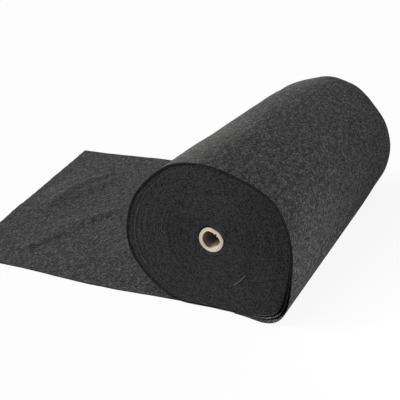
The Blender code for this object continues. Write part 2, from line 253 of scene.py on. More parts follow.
# Camera, floor and light. A sun has the way its light goes, its strength and its width in degrees
camera_place = Vector((1.2460, -3.4630, 1.6766))
camera_yaw, camera_pitch, camera_roll = -0.4578, 0.3823, 0.0379
camera_lens, camera_sensor, camera_clip = 68.4, 36.0, 100.0
floor_reach, floor_height = 40.0, -0.0004
floor_tone, floor_tone_seen, floor_lift = 0.52, 0.10, 0.90
surround_light = 0.33
suns = (
    ("top_light", (0.48, 0.30, -0.82), 0.98, 40.0), ("left_light", (0.96, 0.24, -0.14), 4.8, 24.0),
    ("front_light", (0.34, 0.86, -0.28), 0.42, 16.0),
)
panel_place, panel_target = (1.08, -0.82, 0.15), (0.30, -0.55, 0.20)
panel_size, panel_power = 0.6, 4.2


def smooth_step(value):
    """Rises from 0 to 1 as value does, level at both ends."""
    value = np.clip(value, 0.0, 1.0)
    return value * value * (3.0 - 2.0 * value)


def swell(value, start, end):
    """Rises from 0 at start to 1 halfway, and falls back to 0 at end."""
    return np.sin(np.pi * np.clip((value - start) / (end - start), 0.0, 1.0)) ** 2


def between(value, start, start_run, end, end_run):
    """Rises from 0 to 1 over start_run after start, and falls back to 0 over end_run before end."""
    return smooth_step((value - start) / start_run) * smooth_step((end - value) / end_run)


def soft_noise(along, across, seed, wave):
    """Smooth noise of about -1 to 1, from plane waves of lengths near wave, in random directions."""
    dice = np.random.default_rng(seed)
    total = np.zeros(np.broadcast(along, across).shape)
    for _ in range(noise_waves):
        heading, phase = dice.uniform(0.0, math.tau, 2)
        length = wave * dice.uniform(*noise_spread)
        total += np.cos(math.tau * (along * math.cos(heading) + across * math.sin(heading)) / length + phase)
    return total * math.sqrt(0.5 / noise_waves)


def as_share(noise):
    """Noise of about -1 to 1, as a share from 0 to 1."""
    return 0.5 + 0.5 * np.clip(noise, -1.0, 1.0)


def unit(vectors):
    return vectors / np.linalg.norm(vectors, axis=-1, keepdims=True)


def square_to(run):
    """Unit vectors on the left of flat ones, square to them."""
    return unit(np.stack((-run[..., 1], run[..., 0]), -1))


def round_angles(count):
    """Angles evenly spaced round a circle."""
    return np.arange(count) / count * math.tau


def circle(radius, angle, centre):
    return np.stack((np.cos(angle), np.sin(angle)), -1) * radius + centre


def set_along(flat, place_y):
    """Points from their places in the roll's cross-section and their place along the roll."""
    return np.stack((flat[..., 0], np.broadcast_to(place_y, flat.shape[:-1]), flat[..., 1]), -1)


# The outline of the sagged roll, and how deep each turn lies in it
def outline_walk():
    """The outline's points from the lift-off point, and its length up to each."""
    here = np.array(outline_shares) * (roll_width, roll_height) - (axis_from_left, 0.0)
    before, after, beyond = np.roll(here, 1, 0), np.roll(here, -1, 0), np.roll(here, -2, 0)
    part = (np.arange(samples_per_span) / samples_per_span)[None, :, None]
    before, here, after, beyond = (each[:, None, :] for each in (before, here, after, beyond))
    dense = 0.5 * (2.0 * here + (after - before) * part
                   + (2.0 * before - 5.0 * here + 4.0 * after - beyond) * part ** 2
                   + (3.0 * here - before - 3.0 * after + beyond) * part ** 3)
    dense = dense.reshape(-1, 2)
    dense[:, 1] = np.maximum(dense[:, 1], 0.0)
    right = np.flatnonzero(dense[:, 0] >= lift_off_reach)
    start = right[np.argmin(dense[right, 1])]
    dense = np.roll(dense, -start, 0)
    dense = np.vstack((dense, dense[:1]))
    lengths = np.concatenate(((0.0,), np.cumsum(np.linalg.norm(np.diff(dense, axis=0), axis=1))))
    return dense, lengths


outline_points, outline_lengths = outline_walk()
outline_total = outline_lengths[-1]


def on_outline(share):
    target = np.mod(share, 1.0) * outline_total
    return np.stack([np.interp(target, outline_lengths, outline_points[:, axis]) for axis in (0, 1)], -1)


def inside_outline(share, inward):
    """Points that lie inward of the outline, square to it."""
    run = on_outline(share + tangent_share) - on_outline(share - tangent_share)
    return on_outline(share) + square_to(run) * np.asarray(inward)[..., None]


def dents(share, place_y):
    """Shallow dents where the wound web is slack, none where it meets the floor."""
    along = share * outline_total
    wave = sum(part * soft_noise(along, place_y, seed, length) for seed, length, part in slack_waves)
    return slack_depth * between(share, *slack_limits) * as_share(wave)


def slump(share, place_y):
    """The far end sags in and out, and the near end flares on its left, a little more than in the solids."""
    near_far_end = smooth_step(1.0 - (half_width - place_y) / slump_reach)
    sunk = sum(depth * swell(share, *limits) for depth, limits in zip(slump_depths, slump_shares))
    raised = sum(rise * swell(share, *limits) * swell(place_y, *reach) for rise, limits, reach in flares)
    return near_far_end * sunk - raised


def turn_depth(turn, share, place_y):
    """How far inward of the outline a turn's outer face lies."""
    climb = turn_pitch * (turn + smooth_step(share / ramp_end_share))
    opened = pocket_gap * np.minimum(turn, loose_turns - 1) * swell(share, *pocket_shares)
    return climb + opened + slump(share, place_y) + dents(share, place_y)


def end_step(turn, share):
    """How far a turn stands out of the roll's near end."""
    centred = np.where(share < 0.5, share, share - 1.0)
    steps = np.array(end_steps)[np.minimum(turn, len(end_steps) - 1)]
    return steps * swell(centred, *end_step_shares)


# Meshes from grids of points
def add_object(name, data):
    made = bpy.data.objects.new(name, data)
    bpy.context.collection.objects.link(made)
    return made


def keep_values(piece, name, values):
    """Keeps a number on each vertex, for the materials and the loose fibres."""
    kept = piece.data.attributes.new(name, "FLOAT", "POINT")
    kept.data.foreach_set("value", np.asarray(values, np.float32).ravel())


def keep_run(piece, run):
    """Keeps the web's machine direction on each vertex, for the loose fibres to follow."""
    kept = piece.data.attributes.new("run", "FLOAT_VECTOR", "POINT")
    kept.data.foreach_set("vector", unit(run).astype(np.float32).ravel())


def build_mesh(name, points, quads, finishes, uv, slots=None):
    """An object at the origin. uv holds a pair for each corner of each quad, slots a finish for each quad."""
    mesh = bpy.data.meshes.new(name)
    mesh.from_pydata(points, [], quads)
    for finish in finishes:
        mesh.materials.append(finish)
    mesh.uv_layers.new(name="UVMap").data.foreach_set("uv", np.asarray(uv, np.float32).ravel())
    if slots is not None:
        mesh.polygons.foreach_set("material_index", np.asarray(slots, np.int32))
    mesh.shade_smooth()
    mesh.set_sharp_from_angle(angle=math.radians(sharp_angle_deg))
    return add_object(name, mesh)


def grid_quads(index):
    """The quads of a grid of vertex numbers."""
    return np.stack((index[:-1, :-1], index[1:, :-1], index[1:, 1:], index[:-1, 1:]), -1).reshape(-1, 4)


def rim_of(grid):
    """A grid's border as one closed line, walked the same way round as grid_quads."""
    return np.concatenate((grid[:-1, 0], grid[-1, :-1], grid[:0:-1, -1], grid[0, :0:-1]))


def felt_sheet(name, top, bottom, along, across, face_finish, edge_finish):
    """A closed sheet between two skins, given as grids of points, with a rounded cut edge all round."""
    rows, columns = top.shape[:2]
    index = np.arange(rows * columns).reshape(rows, columns)
    outward = np.zeros_like(top)
    outward[0] += top[0] - top[1]
    outward[-1] += top[-1] - top[-2]
    outward[:, 0] += top[:, 0] - top[:, 1]
    outward[:, -1] += top[:, -1] - top[:, -2]
    middle = (rim_of(top) + rim_of(bottom)) / 2.0 + unit(rim_of(outward)) * rim_bulge
    border = rim_of(index)
    count = rows * columns
    ring = 2 * count + np.arange(len(border))
    further = np.roll(np.arange(len(border)), -1)
    side_up = np.stack((border[further], border, ring, ring[further]), 1)
    side_down = np.stack((ring[further], ring, border + count, border[further] + count), 1)
    quads = np.vstack((grid_quads(index), grid_quads(index)[:, ::-1] + count, side_up, side_down))
    points = np.vstack((top.reshape(-1, 3), bottom.reshape(-1, 3), middle))
    flat_uv = np.stack((along.ravel(), across.ravel()), 1)
    corner_uv = np.vstack((flat_uv, flat_uv, flat_uv[border]))[quads]
    faces = 2 * (rows - 1) * (columns - 1)
    slots = np.concatenate((np.zeros(faces), np.ones(len(quads) - faces)))
    return build_mesh(name, points, quads, (face_finish, edge_finish), corner_uv, slots)


def tube_mesh(name, rings, finishes, slots=None):
    """A closed shape from rings of points, each joined to the next and the last to the first."""
    count, segments = rings.shape[:2]
    index = np.arange(count * segments).reshape(count, segments)
    index = np.vstack((index, index[:1]))
    index = np.hstack((index, index[:, :1]))
    row, column = np.divmod(np.arange(count * segments), segments)
    corner_rows = np.stack((row, row + 1, row + 1, row), 1)
    corner_columns = np.stack((column, column, column + 1, column + 1), 1)
    uv = np.stack((corner_columns / segments, corner_rows / count), -1)
    return build_mesh(name, rings.reshape(-1, 3), grid_quads(index), finishes, uv, slots)


# The web: laid out as the lead, then wound
def wander(place_x):
    """How far the lead's edges stray to one side."""
    return edge_wander * np.cos(math.tau * (place_x - wander_start) / wander_length)


def lead_rise(place_x, place_y):
    """Height of the lead's underside: soft ridges and finer creases that die out before the roll."""
    middles = [(-share_x * lead_length, share_y * half_width) for share_x, share_y in ridge_shares]
    ridges = zip(middles, ridge_lengths, ridge_widths, ridge_heights, ridge_tilts_deg)
    folds = [(*middle, *sizes) for middle, *sizes in ridges] + list(creases)
    height = 0.0
    for middle_x, middle_y, length, width, top, tilt in folds:
        turn = math.radians(tilt)
        run, side = place_x - middle_x, place_y - middle_y
        across = run * math.cos(turn) - side * math.sin(turn)
        along = run * math.sin(turn) + side * math.cos(turn)
        height = height + top * swell(across, -width, width) * swell(along, -length / 2.0, length / 2.0)
    return height * smooth_step((-place_x - lead_flat_reach) / ridge_fade_length)


def laid_web(finishes):
    """The lead from its free end to the line where it lifts off the floor, with folds and ragged edges."""
    across = np.linspace(0.0, 1.0, lead_columns + 1)[None, :]
    along = np.linspace(0.0, 1.0, lead_rows + 1)[:, None]
    ragged = free_edge_scatter * soft_noise(across * web_width, 0.0, free_edge_seed, free_edge_wave)
    start = -lead_length + end_skew * (1.0 - across) + ragged * (1.0 - along) ** free_edge_power
    place_x = start + (lift_off_reach - slit_gap - start) * along
    nominal_y = -half_width + web_width * across
    near_edge = np.abs(2.0 * across - 1.0) ** lead_edge_power
    edge = cut_edge_scatter * soft_noise(place_x, 0.0, lead_edge_seed, lead_edge_wave) * near_edge
    place_y = nominal_y + wander(place_x) + edge
    away = smooth_step((-place_x - roll_width / 2.0) / ridge_fade_length)
    lift = felt_lift * away * as_share(soft_noise(place_x, nominal_y, felt_lift_seed, felt_lift_wave))
    rise = lead_rise(place_x, nominal_y)
    bottom = np.stack(np.broadcast_arrays(place_x, place_y, rise), -1)
    top = np.stack(np.broadcast_arrays(place_x, place_y, rise + felt_thickness + lift), -1)
    made = felt_sheet("laid_web", top, bottom, place_x, place_y, *finishes)
    count = len(made.data.vertices)
    keep_run(made, np.tile((1.0, 0.0, 0.0), (count, 1)))
    fuzz = np.zeros(count)
    fuzz[:place_x.size] = (place_x < lead_fuzz_end).ravel()
    keep_values(made, "fuzz", fuzz)
    return made


def wound_places():
    """Places along the web's width where the wound web is drawn, closer together at its two ends."""
    ends = np.array(end_places)
    middle = np.linspace(middle_inset, web_width - middle_inset, middle_places)
    return np.concatenate((ends, middle, web_width - ends[::-1])) - half_width


def wound_web(finishes):
    """The outermost turns, one unbroken sheet, opened into a pocket at the lower right."""
    start_share = slit_gap / outline_total
    steps = wound_steps_per_turn * loose_turns
    wound = np.linspace(start_share, loose_turns - start_share, steps + 1)[:, None]
    turn = np.minimum(wound.astype(int), loose_turns - 1)
    share = wound - turn
    place_y = wound_places()[None, :]
    depth = turn_depth(turn, share, place_y)
    near_edge = np.abs(place_y / half_width) ** wound_edge_power
    stray = near_edge * soft_noise(wound * outline_total, 0.0, wound_edge_seed, wound_edge_wave)
    shifted = place_y - end_step(turn, share) + cut_edge_scatter * stray
    outer, inner = (set_along(inside_outline(np.broadcast_to(share, inward.shape), inward), shifted)
                    for inward in (depth, depth + felt_thickness))
    along, across = np.broadcast_arrays(lift_off_reach + wound * outline_total, place_y)
    made = felt_sheet("wound_web", outer, inner, along, across, *finishes)
    run = np.gradient(outer, axis=0)
    keep_run(made, np.vstack((run.reshape(-1, 3), run.reshape(-1, 3), rim_of(run))))
    fuzz = np.zeros(len(made.data.vertices))
    fuzz[:along.size] = ((turn == 0) & (outer[..., 2] > roll_fuzz_floor)).ravel()
    keep_values(made, "fuzz", fuzz)
    return made


def lint_tuft(finish):
    """A wisp of loose fibres that clings to the near face."""
    dice = np.random.default_rng(tuft_seed)
    steps = np.linspace(0.0, 1.0, tuft_steps)
    corners = round_angles(tuft_sides)
    knots = np.linspace(0.0, 1.0, len(tuft_path))
    fibre_points = tuft_steps * tuft_sides
    points, faces, shades = [], [], []
    for number in range(tuft_fibres):
        start, end = dice.uniform(*tuft_starts), dice.uniform(*tuft_ends)
        along = start + (end - start) * steps
        line = np.stack([np.interp(along, knots, column) for column in np.array(tuft_path).T], 1)
        bunch = tuft_waist + (1.0 - tuft_waist) * (2.0 * along - 1.0) ** 2
        phase, wave = dice.uniform(0.0, math.tau, 3), dice.uniform(*tuft_waves, 3)
        line = line + tuft_spread * bunch[:, None] * np.cos(along[:, None] * wave[:2] * math.tau + phase[:2])
        lift = np.cos(along * wave[2] * math.pi + phase[2]) ** 2
        depth = -half_width - tuft_lift * (tuft_least_lift + (1.0 - tuft_least_lift) * lift)
        side = square_to(np.gradient(line, axis=0))
        flat = line[:, None] + stray_radius * np.cos(corners)[None, :, None] * side[:, None]
        points.append(set_along(flat, depth[:, None] + stray_radius * np.sin(corners)).reshape(-1, 3))
        index = number * fibre_points + np.arange(fibre_points).reshape(tuft_steps, -1)
        faces += grid_quads(np.hstack((index, index[:, :1]))).tolist()
        faces += [index[0].tolist(), index[-1, ::-1].tolist()]
        shades.append(dice.uniform(*tuft_shades))
    mesh = bpy.data.meshes.new("lint_tuft")
    mesh.from_pydata(np.vstack(points), [], faces)
    mesh.materials.append(finish)
    made = add_object("lint_tuft", mesh)
    keep_values(made, "shade", np.repeat(shades, fibre_points))
    return made


# The ends of the layers, which show as rings on the roll's two faces
def layer_rings(outer, inner, count, seed):
    """The near face's rings from an outer to an inner line across count layers, and the layer at each ring.

    Each layer has a lip. The caller mirrors the rings for the far face.
    """
    dice = np.random.default_rng(seed)
    angle = round_angles(len(outer))
    depths, layers = [], []
    for number in range(count):
        phase = dice.uniform(0.0, math.tau, 3)
        stand = sum(np.cos(angle * wave + shift) / wave for wave, shift in zip((1, 2, 3), phase))
        stand = layer_end_scatter * (layer_wave_part * stand + dice.uniform(-layer_jitter, layer_jitter))
        for part, sink in lip_profile:
            depths.append(lip_depth * sink + stand * (1.0 - lip_hold * sink))
            layers.append(number + part)
    depths.append(np.full(len(outer), lip_depth))
    layers = np.array(layers + [count])
    flat = outer + (inner - outer) * (layers / count)[:, None, None]
    return set_along(flat, -half_width + np.array(depths) + layer_end_scatter), layers


def layer_ends(name, near_lines, far_lines, bore_lines, count, seed, finish):
    """Layers between an outer and an inner line at each end. bore_lines are lines and their depths in."""
    near, layers = layer_rings(*near_lines, count, seed)
    far, _ = layer_rings(*far_lines, count, seed + 1)
    far[..., 1] *= -1.0
    inset = outer_wall_inset * unit(near_lines[1] - near_lines[0])
    walls = [set_along(far_lines[0] + inset, half_width - outer_wall_inset),
             set_along(near_lines[0] + inset, outer_wall_inset - half_width)]
    bore = [set_along(line, depth - half_width) for line, depth in bore_lines]
    bore += [set_along(line, half_width - depth) for line, depth in bore_lines[::-1]]
    rings = np.vstack((near, bore, far[::-1], walls))
    made = tube_mesh(name, rings, (finish,))
    layers = np.concatenate((layers, [count] * len(bore), layers[::-1], [0.0] * len(walls)))
    keep_values(made, "layer", np.repeat(layers, near.shape[1]))
    from_axis = rings.reshape(-1, 3) - (0.0, 0.0, turn_axis_height)
    keep_run(made, np.cross((0.0, -1.0, 0.0), from_axis))
    fuzz = np.ones(rings.shape[:2])
    fuzz[-len(walls):] = 0.0
    keep_values(made, "fuzz", fuzz)
    return made


def sagged_ends(finish):
    """The layers between the loose turns and the round heart. A groove sets their near face off the rim."""
    share = np.arange(end_ring_segments) / end_ring_segments
    base = inside_outline(share, turn_depth(loose_turns, share, -half_width)) - turn_axis
    heart_line = circle(heart_radius + running_gap, np.arctan2(base[:, 1], base[:, 0]), turn_axis)
    lines = []
    for place_y in (-half_width, half_width):
        groove = outline_groove * swell(share, *outline_groove_shares) * (place_y < 0.0)
        outer = inside_outline(share, turn_depth(loose_turns, share, place_y) + groove)
        lines.append((outer, heart_line))
    bore = [(lines[0][1], bore_depth)]
    return layer_ends("sagged_layer_ends", *lines, bore, sagged_layer_count, sagged_seed, finish)


def heart_ends(finish):
    """The round heart. Just behind the lip of its hole it is wider, which leaves the collar room to turn."""
    angle = round_angles(heart_segments)
    outer, hole, wide = (circle(radius, angle, turn_axis)
                         for radius in (heart_radius, hole_radius, hole_radius + collar_room))
    count = round((heart_radius - hole_radius) / turn_pitch)
    bore = [(wide, room_start), (wide, room_end), (hole, room_end)]
    return layer_ends("heart_layer_ends", (outer, hole), (outer, hole), bore, count, heart_seed, finish)


def core_collar(name, side, finish):
    """Felt pressed round one of the core's mouths, which turns with it. It leaves a gap at the upper left."""
    angle = round_angles(core_segments)
    gap = (hole_radius - core_radius) - core_drop * np.cos(angle - core_rest_angle)
    gap = gap * np.interp(np.degrees(angle), hole_gap_degs, hole_gap_shares)
    inner = core_radius + np.minimum(gap, collar_reach - collar_least)
    start, end = (side * (half_width - depth) for depth in collar_depths[::-side])
    wide = circle(core_radius + collar_reach, angle, core_axis)
    rings = [ring(inner, start, angle), set_along(wide, start), set_along(wide, end), ring(inner, end, angle)]
    made = tube_mesh(name, np.array(rings), (finish,))
    keep_values(made, "layer", np.full(len(rings) * core_segments, 0.5))
    return made


# The core's plies
def from_angle(angle, middle_deg):
    """Degrees from a direction in the core's cross-section, from -180 to 180."""
    return np.mod(np.degrees(angle) - middle_deg + 180.0, 360.0) - 180.0


def ring(radius, place_y, angle):
    """One ring of the core's points. The near mouth is dented, least far down the core."""
    near = np.clip(1.0 - (np.broadcast_to(place_y, angle.shape) + half_width) / dent_length, 0.0, 1.0)
    push = sum(depth * swell(from_angle(angle, middle), -half, half) for depth, middle, half in mouth_dents)
    return set_along(circle((radius - near * push)[:, None], angle, core_axis), place_y)


def mouth_rings(inner, outer, papers, dice):
    """Radii of a board tube's cut end, and how far each stands back, stepping from paper to paper."""
    angle = round_angles(core_segments)
    radii, backs = [], []
    for number in range(papers):
        phase = dice.uniform(0.0, math.tau, len(paper_waves))
        ripple = sum(1.0 + np.cos(angle * wave + shift) for wave, shift in zip(paper_waves, phase))
        stand = paper_step * (ripple + dice.uniform(0.0, paper_jitter))
        for part, sink in paper_profile:
            radii.append(np.full(core_segments, inner + (outer - inner) / papers * (number + part)))
            backs.append(stand + paper_step * sink)
    radii[0] = np.full(core_segments, inner)
    radii[-1] = np.full(core_segments, outer)
    return np.array(radii), np.array(backs)


def ply_tube(name, inner, thickness, papers, seed, finishes, skinned, torn):
    """One ply of the core. A skinned one has kraft on its two walls, and a torn one a frayed near mouth."""
    angle = round_angles(core_segments)
    dice = np.random.default_rng(seed)
    outer = inner + thickness
    radii, backs = mouth_rings(inner, outer, papers, dice)
    far_radii, far_backs = mouth_rings(inner, outer, papers, dice)
    if torn:
        inward, further = liner_tear(angle, (radii - inner) / thickness)
        radii, backs = radii - inward, backs + further
    near_wall = [back - half_width for back in mouth_backs]
    wall = near_wall + [-place for place in near_wall[::-1]]
    rings = [ring(*row, angle) for row in zip(radii, backs - half_width)]
    rings += [ring(outer, place, angle) for place in wall]
    rings += [ring(*row, angle) for row in zip(far_radii[::-1], half_width - far_backs[::-1])]
    rings += [ring(inner, place, angle) for place in wall[::-1]]
    skin = np.zeros(len(rings))
    if skinned:
        skin[len(radii) - 1:len(radii) + len(wall)] = 1
        skin[-len(wall) - 1:] = 1
    return tube_mesh(name, np.array(rings), finishes, np.repeat(skin, core_segments))


def liner_tear(angle, part):
    """How far the torn liner curls into the bore and is frayed back. part runs from its bore side outward."""
    away = from_angle(angle, tear_middle) + tear_middle
    reach = between(away, *tear_limits)
    teeth = np.zeros_like(away)
    for middle, width, size in tear_teeth:
        teeth = np.maximum(teeth, size * np.sqrt(swell(away, middle - width, middle + width)))
    fine = sum(size * np.sin(angle * count + shift) for size, count, shift in fray_waves)
    inward = reach * tear_curl * np.clip(teeth + fine, 0.0, tear_limit)
    back = reach * (tear_back + tear_back_between * (1.0 - teeth) + tear_back_frayed * np.abs(fine))
    return inward * (1.0 - part), back * (1.0 - tear_taper * part)


def core_pieces(finishes):
    """The core's four plies, from the torn liner out to the cover."""
    names = ("core_liner", "core_board_inside", "core_board_outside", "core_cover")
    nodes = ("core_liner_ply", "core_inner_board", "core_outer_board", "core_cover_ply")
    radius = core_bore_radius
    rows = zip(names, nodes, board_thicknesses, papers_per_ply)
    for number, (name, node, thickness, papers) in enumerate(rows):
        skinned = number in (0, len(nodes) - 1)
        piece = ply_tube(name, radius, thickness, papers, core_seed + number, finishes, skinned, number == 0)
        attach(piece, "core")
        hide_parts(node)
        radius += thickness + ply_gap


# Node graphs
def by_identifier(sockets, identifier):
    """The one of a node's sockets that carries this identifier, where several share a name."""
    return next(socket for socket in sockets if socket.identifier == identifier)


class Graph:
    """Adds nodes to a tree. An input is given by name or number, as a value or the socket that feeds it."""

    def __init__(self, tree):
        self.tree = tree

    def node(self, kind, inputs=None, **settings):
        made = self.tree.nodes.new(kind)
        for name, value in settings.items():
            setattr(made, name, value)
        for key, value in (inputs or {}).items():
            self.feed(made.inputs[key], value)
        return made

    def feed(self, socket, value):
        """Links a socket or sets it. A colour is given as three numbers."""
        if isinstance(value, bpy.types.NodeSocket):
            self.tree.links.new(value, socket)
        else:
            socket.default_value = (*value, 1.0) if socket.type == "RGBA" else value

    def math(self, operation, first, second=0.0, third=0.0, clamp=False):
        inputs = {0: first, 1: second, 2: third}
        return self.node("ShaderNodeMath", inputs, operation=operation, use_clamp=clamp).outputs[0]

    def vector(self, operation, first, second=(0.0, 0.0, 0.0), result="Vector"):
        return self.node("ShaderNodeVectorMath", {0: first, 1: second}, operation=operation).outputs[result]

    def scale(self, vector, amount):
        inputs = {0: vector, "Scale": amount}
        return self.node("ShaderNodeVectorMath", inputs, operation="SCALE").outputs["Vector"]

    def parts(self, vector):
        return self.node("ShaderNodeSeparateXYZ", {0: vector}).outputs

    def mix(self, factor, first, second):
        made = self.node("ShaderNodeMix", data_type="RGBA")
        for identifier, value in (("Factor_Float", factor), ("A_Color", first), ("B_Color", second)):
            self.feed(by_identifier(made.inputs, identifier), value)
        return by_identifier(made.outputs, "Result_Color")

    def noise(self, vector, scale, detail, roughness):
        inputs = {"Vector": vector, "Scale": scale, "Detail": detail, "Roughness": roughness}
        return self.node("ShaderNodeTexNoise", inputs).outputs

    def spread(self, value, low, high, to_low=0.0, to_high=1.0):
        inputs = {"Value": value, "From Min": low, "From Max": high, "To Min": to_low, "To Max": to_high}
        return self.node("ShaderNodeMapRange", inputs).outputs["Result"]

    def cloud(self, vector, cloud, to_low=0.0, to_high=1.0):
        """Noise from one of the rows of cloud sizes, stretched to run from to_low to to_high."""
        scale, detail, roughness, low, high = cloud
        return self.spread(self.noise(vector, scale, detail, roughness)["Fac"], low, high, to_low, to_high)

    def group(self, tree, **inputs):
        return self.node("ShaderNodeGroup", inputs, node_tree=tree).outputs


def new_group(name, inputs, outputs, kind="ShaderNodeTree"):
    """A node group's graph, the sockets that bring its inputs and those that take its outputs."""
    tree = bpy.data.node_groups.new(name, kind)
    for way, sockets in (("INPUT", inputs), ("OUTPUT", outputs)):
        for label, socket_kind in sockets.items():
            tree.interface.new_socket(label, in_out=way, socket_type="NodeSocket" + socket_kind)
    graph = Graph(tree)
    return graph, graph.node("NodeGroupInput").outputs, graph.node("NodeGroupOutput").inputs


# Shader groups
def fibre_layer_group():
    """Fibres that lie about one heading: long thin cells, each with its own brightness."""
    graph, given, out = new_group(
        "fibre_layer",
        {"Vector": "Vector", "Heading": "Float", "Length": "Float", "Width": "Float", "Fill": "Float"},
        {"Mask": "Float"})
    turned = graph.node("ShaderNodeVectorRotate", {"Vector": given["Vector"], "Angle": given["Heading"]},
                        rotation_type="Z_AXIS")
    size = graph.node("ShaderNodeCombineXYZ", {"X": given["Length"], "Y": given["Width"], "Z": 1.0})
    cells = graph.vector("DIVIDE", turned.outputs[0], size.outputs[0])
    found = graph.node("ShaderNodeTexVoronoi", {"Vector": cells, "Scale": 1.0, "Randomness": 1.0},
                       voronoi_dimensions="2D", feature="F1").outputs
    fill = {"Value": found["Distance"], "From Min": given["Fill"], "From Max": 0.0}
    body = graph.node("ShaderNodeMapRange", fill, interpolation_type="SMOOTHSTEP").outputs["Result"]
    bright = graph.node("ShaderNodeSeparateColor", {0: found["Color"]}).outputs[0]
    bright = graph.math("POWER", bright, fibre_rarity)
    graph.feed(out["Mask"], graph.math("MULTIPLY", body, bright))
    return graph.tree


def needled_felt_group(fibre_layer):
    """Needle-punched felt from a position in metres, its first axis along the web."""
    graph, given, out = new_group(
        "needled_felt",
        {"Vector": "Vector", "Dark": "Color", "Pale": "Color", "Fibre": "Color", "Fibres": "Float",
         "Mottle": "Float", "Clouds": "Float", "Specks": "Float"},
        {"Color": "Color", "Roughness": "Float", "Height": "Float"})
    place = given["Vector"]
    curl = graph.vector("SUBTRACT", graph.noise(place, *fibre_curl_noise)["Color"], (0.5, 0.5, 0.5))
    bent = graph.vector("ADD", place, graph.scale(curl, fibre_curl))
    fibres = 0.0
    for length, width, weight, headings in fibre_sizes:
        for heading in headings:
            layer = graph.group(fibre_layer, Vector=bent, Heading=heading, Length=length, Width=width,
                                Fill=fibre_fill)
            fibres = graph.math("MULTIPLY_ADD", layer["Mask"], weight, fibres)
    drawn = graph.vector("MULTIPLY", place, (1.0, cross_draw, 1.0))
    fibres = graph.math("MULTIPLY", fibres, graph.cloud(drawn, felt_clumps, clump_least, 1.0))
    fibres = graph.math("MULTIPLY", fibres, given["Fibres"], clamp=True)
    mottle, clouds, specks = (
        graph.math("MULTIPLY", graph.cloud(drawn, cloud, -0.5, 0.5), given[name])
        for name, cloud in (("Mottle", felt_mottle), ("Clouds", felt_clouds), ("Specks", felt_specks)))
    grain = graph.cloud(place, felt_grain)
    tone = graph.math("MULTIPLY_ADD", grain, grain_share, ground_tone)
    tone = graph.math("ADD", graph.math("ADD", clouds, graph.math("ADD", specks, tone)), mottle, clamp=True)
    base = graph.mix(tone, given["Dark"], given["Pale"])
    graph.feed(out["Color"], graph.mix(fibres, base, given["Fibre"]))
    graph.feed(out["Roughness"], graph.spread(grain, 0.0, 1.0, *felt_roughness))
    height = graph.math("MULTIPLY", mottle, mottle_height)
    for part, share in ((grain, grain_height), (fibres, fibre_height)):
        height = graph.math("MULTIPLY_ADD", part, share, height)
    graph.feed(out["Height"], height)
    return graph.tree


def cut_edge_group():
    """A cut edge of felt, or the stacked edges of its layers. Layer counts the layers inward."""
    graph, given, out = new_group(
        "cut_edge", {"Vector": "Vector", "Layer": "Float", "Dark": "Color", "Pale": "Color"},
        {"Color": "Color", "Height": "Float"})
    strands = graph.cloud(given["Vector"], edge_strands)
    stretched = graph.vector("MULTIPLY", given["Vector"], edge_patch_stretch)
    patches = graph.cloud(stretched, edge_patches, -0.5, 0.5)
    part = graph.math("SUBTRACT", graph.math("FRACT", given["Layer"]), 0.5)
    groove = graph.spread(graph.math("ABSOLUTE", part), *groove_starts)
    tone = graph.math("MULTIPLY_ADD", patches, edge_patch_share, strands)
    tone = graph.math("MULTIPLY_ADD", groove, groove_shade, tone, clamp=True)
    graph.feed(out["Color"], graph.mix(tone, given["Dark"], given["Pale"]))
    graph.feed(out["Height"], strands)
    return graph.tree


def board_stock_group():
    """Board or kraft from a position in metres: cloudy pulp with flecks. Papers below zero darkens it."""
    graph, given, out = new_group(
        "board_stock", {"Vector": "Vector", "Papers": "Float", "Pale": "Color", "Deep": "Color"},
        {"Color": "Color", "Height": "Float"})
    pulp = graph.cloud(given["Vector"], board_pulp)
    flecks = graph.cloud(given["Vector"], board_flecks)
    tone = graph.math("MULTIPLY_ADD", flecks, fleck_share, graph.math("MULTIPLY", pulp, pulp_share))
    tone = graph.math("MULTIPLY_ADD", given["Papers"], paper_shade, tone, clamp=True)
    graph.feed(out["Color"], graph.mix(tone, given["Pale"], given["Deep"]))
    graph.feed(out["Height"], graph.math("ADD", flecks, pulp))
    return graph.tree


# Materials
def start_material(name, roughness, sheen=0.0, nap=1.0):
    """A matt material, its graph and its shader. Every finish here is cloth or paper."""
    made = bpy.data.materials.new(name)
    made.use_nodes = True
    shader = made.node_tree.nodes["Principled BSDF"]
    for label, value in (("Metallic", 0.0), ("Roughness", roughness), ("Specular IOR Level", 0.10),
                         ("Diffuse Roughness", nap), ("Sheen Weight", sheen), ("Sheen Roughness", 0.6)):
        shader.inputs[label].default_value = value
    return made, Graph(made.node_tree), shader


def dress(graph, shader, colour, height, distance, strength):
    """Feeds a shader its colour, and its normal from a height."""
    bump = graph.node("ShaderNodeBump", {"Height": height, "Distance": distance, "Strength": strength})
    graph.feed(shader.inputs["Base Color"], colour)
    graph.feed(shader.inputs["Normal"], bump.outputs["Normal"])


